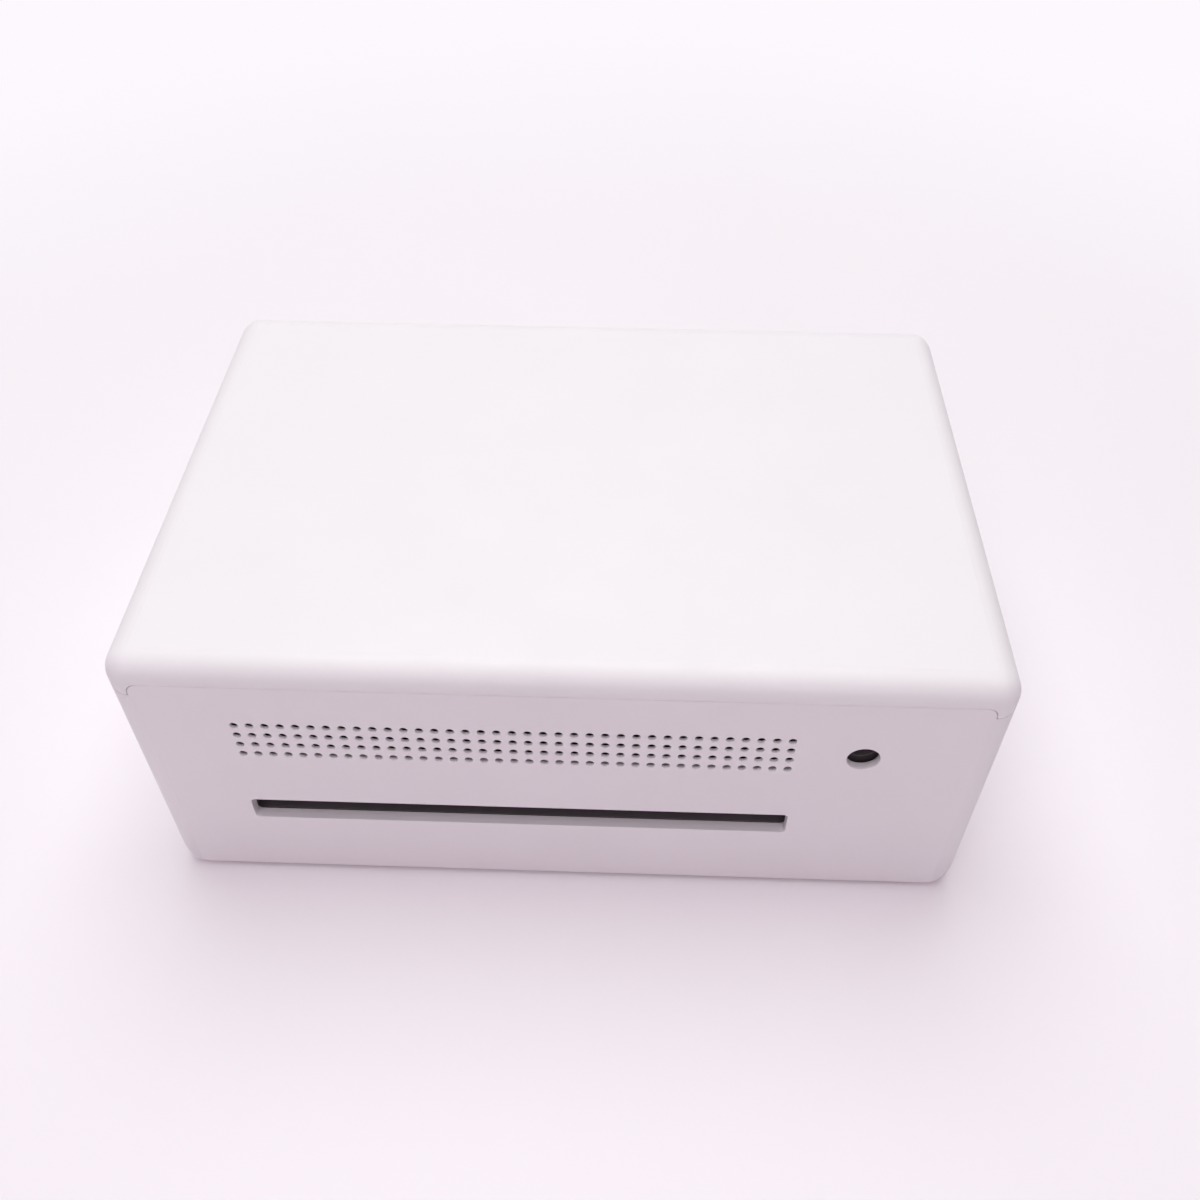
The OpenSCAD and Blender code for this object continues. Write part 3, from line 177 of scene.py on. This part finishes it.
# moulded: colour, roughness, size and depth of the grain, share by which the colour varies
# metal: colour, roughness, stretch and size of the streaks, share by which the colour varies
MATERIALS = {
    "casing": moulded("casing_white", CASING, 0.46, 0.3, 0.01, 0.015),
    "clear": moulded(
        "lens_clear", (0.72, 0.8, 0.88), 0.15, 2.0, 0.002, 0.02, Transmission_Weight=0.6
    ),
    "foot_rubber": moulded("foot_rubber", (0.03, 0.03, 0.033), 0.8, 0.5, 0.03, 0.3),
    "roller_rubber": moulded("roller_rubber", (0.035, 0.033, 0.036), 0.72, 0.4, 0.02, 0.25),
    "steel": metal("turned_steel", (0.62, 0.62, 0.64), 0.28, (1, 0.15, 0.15), 0.3),
    "sheet_steel": metal("zinc_plated_sheet", (0.6, 0.61, 0.63), 0.38, (1, 0.25, 1), 1.2, 0.2),
    "aluminium": metal("extruded_aluminium", (0.8, 0.81, 0.82), 0.34, (0.04, 1, 1), 0.5, 0.1),
    "head_ceramic": moulded("glazed_ceramic", (0.72, 0.7, 0.64), 0.2, 1.5, 0.003, 0.05),
    "black_plastic": moulded("black_plastic", (0.1, 0.087, 0.095), 0.55, 0.3, 0.012, 0.12),
    "gear_plastic": moulded("acetal", (0.74, 0.73, 0.68), 0.36, 0.8, 0.005, 0.05),
    "cartridge_plastic": moulded("cartridge_grey", (0.055, 0.055, 0.062), 0.5, 0.35, 0.012, 0.15),
    "ribbon": moulded("ribbon_film", (0.4, 0.05, 0.11), 0.16, 6.0, 0.01, 0.2, Coat_Weight=0.5),
    "brass": metal("turned_brass", (0.72, 0.52, 0.22), 0.3, (1, 0.2, 0.2), 0.3),
    "board": board("circuit_board", (0.012, 0.11, 0.05)),
    "component": moulded("component_black", (0.02, 0.02, 0.022), 0.45, 0.25, 0.006, 0.2),
}

slot_of = {s["node"]: s["material_slot"] for s in frame["record"]["subparts"]}
for name, piece in frame["nodes"].items():
    piece.data.materials.clear()
    piece.data.materials.append(MATERIALS[slot_of[name]])

# ---------------------------------------------------------------- moulded edges

WELD_MM = 0.002
# Faces closer than the first angle are one flat face, edges past the second are sharp
FLAT_ANGLE = math.radians(0.5)
SHARP_ANGLE = math.radians(50)
# Small radii that every moulded or stamped edge has, in millimetres
EDGE_RADIUS = {
    "lower_case": 0.2,
    "front_panel": 0.2,
    "rear_panel": 0.15,
    "top_cover": 0.2,
    "tray_door": 0.25,
    "ribbon_door": 0.25,
    "power_button": 0.2,
    "cartridge_frame": 0.15,
    "cartridge_latch": 0.2,
    "tray_guide": 0.15,
    "rear_paper_guide": 0.15,
    "power_jack": 0.15,
    "chassis": 0.08,
    "head_bracket": 0.08,
    "motor_plate": 0.08,
    "heatsink": 0.08,
}


def soften(piece, radius):
    """Merges flat faces into whole ones and rounds the sharp edges between them."""
    weld = piece.modifiers.new("weld", "WELD")
    weld.merge_threshold = WELD_MM * MM
    flat = piece.modifiers.new("flat_faces", "DECIMATE")
    flat.decimate_type = "DISSOLVE"
    flat.angle_limit = FLAT_ANGLE
    soft = piece.modifiers.new("edges", "BEVEL")
    soft.width = radius * MM
    soft.segments = 2
    soft.limit_method = "ANGLE"
    soft.angle_limit = SHARP_ANGLE
    soft.harden_normals = True
    soft.use_clamp_overlap = False
    soft.loop_slide = False


for name, radius in EDGE_RADIUS.items():
    soften(frame["nodes"][name], radius)

# ---------------------------------------------------------------- the film under the print head

# In millimetres, as in the CAD: the film's ends across the paper, its thickness, its level under
# the parked head, the place of the head's tip, and the longest step along it
FILM_X = (-42.5, 60.5)
FILM_T = 0.15
FILM_LEVEL = 29.1
FILM_TIP = (1.6, FILM_LEVEL)
FILM_STEP = 0.6
# Each half: where it leaves its roll, where it comes to the level, and the y from which and to
# which it would bend, which is not used:
# the film runs straight between these points. Both halves end at the head's tip, so that the halves
# stay together.
FILM_HALVES = {
    "ribbon_film_take_up": ((-15.64, 35.77), (-9.0, FILM_LEVEL), (-9.0, 4.3)),
    "ribbon_film_supply": ((20.92, 33.32), (16.0, FILM_LEVEL), (20.0, -3.1)),
}


def film_stations(path):
    """Points along the path's straight pieces, no more than FILM_STEP apart."""
    stations = [path[0]]
    for (y0, z0), (y1, z1) in zip(path, path[1:]):
        steps = max(1, round(math.hypot(y1 - y0, z1 - z0) / FILM_STEP))
        for k in range(1, steps + 1):
            stations.append((y0 + (y1 - y0) * k / steps, z0 + (z1 - z0) * k / steps))
    return stations


def film_half(name, path):
    """A strip of film across the paper's width, along the path, of the film's thickness."""
    section = ((FILM_X[0], 0), (FILM_X[1], 0), (FILM_X[1], FILM_T), (FILM_X[0], FILM_T))
    bm = bmesh.new()
    rings = []
    for y, z in film_stations(path):
        rings.append([bm.verts.new((x * MM, y * MM, (z - drop) * MM)) for x, drop in section])
    for near, far in zip(rings, rings[1:]):
        for k in range(4):
            bm.faces.new((near[k], near[(k + 1) % 4], far[(k + 1) % 4], far[k]))
    bm.faces.new(rings[0])
    bm.faces.new(rings[-1])
    bmesh.ops.recalc_face_normals(bm, faces=bm.faces)
    mesh = bpy.data.meshes.new(name)
    bm.to_mesh(mesh)
    bm.free()
    mesh.materials.append(MATERIALS["ribbon"])
    piece = bpy.data.objects.new(name, mesh)
    bpy.context.scene.collection.objects.link(piece)
    return piece


for name, (from_roll, to_level, (bend_from, bend_to)) in FILM_HALVES.items():
    half = film_half(name, (from_roll, to_level, FILM_TIP))
    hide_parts("ribbon_film")
    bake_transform(half)

# ---------------------------------------------------------------- floor

FLOOR = (0.958, 0.905, 0.948)
BACKDROP = (0.975, 0.94, 0.985)
FLOOR_SIZE = 6.0
# Size of the floor's faint dapple in millimetres, and how dark it gets
DAPPLE_MM = 160.0
DAPPLE_DARK = 0.985
# Distances from the middle between which the floor fades into the backdrop, in metres
SHADOW_ZONE = (0.14, 0.45)


def show_to_eye(tree, shader, colour, share=None):
    """Shows a plain colour to the eye, in mirrors and through glass, but lights nothing with it."""
    output = tree.nodes["Material Output" if "Material Output" in tree.nodes else "World Output"]
    seen = node(tree, "ShaderNodeLightPath")
    either = node(tree, "ShaderNodeMath", operation="MAXIMUM")
    tree.links.new(seen.outputs["Is Camera Ray"], either.inputs[0])
    tree.links.new(seen.outputs["Is Glossy Ray"], either.inputs[1])
    every = node(tree, "ShaderNodeMath", operation="MAXIMUM")
    tree.links.new(either.outputs[0], every.inputs[0])
    tree.links.new(seen.outputs["Is Transmission Ray"], every.inputs[1])
    amount = every.outputs[0]
    if share is not None:
        part = node(tree, "ShaderNodeMath", operation="MULTIPLY")
        tree.links.new(amount, part.inputs[0])
        tree.links.new(share, part.inputs[1])
        amount = part.outputs[0]
    glow = node(tree, "ShaderNodeEmission" if share is not None else "ShaderNodeBackground")
    glow.inputs["Color"].default_value = (*colour, 1)
    glow.inputs["Strength"].default_value = 1.0
    mix = node(tree, "ShaderNodeMixShader")
    tree.links.new(amount, mix.inputs[0])
    tree.links.new(shader.outputs[0], mix.inputs[1])
    tree.links.new(glow.outputs[0], mix.inputs[2])
    tree.links.new(mix.outputs[0], output.inputs["Surface"])


floor_mat, floor_tree, floor_shader = new_material("studio_floor")
dapple = noise(floor_tree, DAPPLE_MM, detail=2.0)
floor_colour = tint(floor_tree, dapple, scaled(FLOOR, DAPPLE_DARK), FLOOR)
floor_tree.links.new(floor_colour, floor_shader.inputs["Base Color"])
floor_shader.inputs["Roughness"].default_value = 0.75
# Past the shadow, the floor fades into the pale backdrop
floor_place = node(floor_tree, "ShaderNodeTexCoord")
floor_far = node(floor_tree, "ShaderNodeVectorMath", operation="LENGTH")
floor_tree.links.new(floor_place.outputs["Object"], floor_far.inputs[0])
floor_fade = node(floor_tree, "ShaderNodeMapRange", interpolation_type="SMOOTHSTEP")
floor_fade.inputs["From Min"].default_value = SHADOW_ZONE[0]
floor_fade.inputs["From Max"].default_value = SHADOW_ZONE[1]
floor_tree.links.new(floor_far.outputs["Value"], floor_fade.inputs["Value"])
show_to_eye(floor_tree, floor_shader, BACKDROP, floor_fade.outputs["Result"])

bpy.ops.mesh.primitive_plane_add(size=FLOOR_SIZE, location=(0, 0, 0))
floor = bpy.context.active_object
floor.name = "studio_floor"
floor.data.materials.append(floor_mat)

# ---------------------------------------------------------------- light

LAMP_COLOUR = (0.935, 1.0, 0.965)
FILL_COLOUR = (1.0, 0.88, 0.95)
SKY_COLOUR = (1.0, 0.68, 0.86, 1)
SKY_STRENGTH = 0.14
LAMP_AIM = Vector((0, 0, 0.03))
# Place and diameter in metres, power in watts, colour
LAMPS = {
    "overhead_front": ((0.05, -0.36, 1.1), 1.1, 9.05, LAMP_COLOUR),
    "overhead_rear": ((0.05, 0.25, 1.15), 1.1, 3.5, LAMP_COLOUR),
    "fill": ((0.1, 0.95, 1.0), 1.2, 4.3, FILL_COLOUR),
}


def area_light(name, place, size, power, colour):
    """A round soft lamp that faces the object."""
    data = bpy.data.lights.new(name, "AREA")
    data.shape = "DISK"
    data.size = size
    data.energy = power
    data.color = colour
    lamp = bpy.data.objects.new(name, data)
    bpy.context.scene.collection.objects.link(lamp)
    lamp.location = place
    lamp.rotation_euler = (LAMP_AIM - Vector(place)).to_track_quat("-Z", "Y").to_euler()


for name, facts in LAMPS.items():
    area_light(name, *facts)

world = bpy.data.worlds.new("studio")
bpy.context.scene.world = world
world.use_nodes = True
sky = world.node_tree.nodes["Background"]
sky.inputs["Color"].default_value = SKY_COLOUR
sky.inputs["Strength"].default_value = SKY_STRENGTH
show_to_eye(world.node_tree, sky, BACKDROP)

# ---------------------------------------------------------------- the photograph's camera

# Place, aim and roll fitted to six straight edges of the photograph
CAMERA_AT = Vector((-11.85, 196.65, 234.91)) * MM
CAMERA_PITCH = math.radians(46.462)
CAMERA_YAW = math.radians(-1.75)
CAMERA_ROLL = math.radians(0.232)
SENSOR = 36.0
# The fitted focal length in pixels, over the photograph's width
FOCAL = 1187.25 / 1200 * SENSOR

ahead = Vector((
    -math.sin(CAMERA_YAW) * math.cos(CAMERA_PITCH),
    -math.cos(CAMERA_YAW) * math.cos(CAMERA_PITCH),
    -math.sin(CAMERA_PITCH),
))
right = Vector((-math.cos(CAMERA_YAW), math.sin(CAMERA_YAW), 0))
up = right.cross(ahead)
rolled_right = right * math.cos(CAMERA_ROLL) + up * math.sin(CAMERA_ROLL)
rolled_up = -right * math.sin(CAMERA_ROLL) + up * math.cos(CAMERA_ROLL)

camera_data = bpy.data.cameras.new("photo_camera")
camera_data.sensor_width = SENSOR
camera_data.sensor_fit = "HORIZONTAL"
camera_data.lens = FOCAL
camera_data.clip_start = 0.01
camera = bpy.data.objects.new("photo_camera", camera_data)
bpy.context.scene.collection.objects.link(camera)
turn = Matrix((rolled_right, rolled_up, -ahead)).transposed().to_4x4()
camera.matrix_world = Matrix.Translation(CAMERA_AT) @ turn
bpy.context.scene.camera = camera
bpy.context.scene.view_settings.view_transform = "Standard"
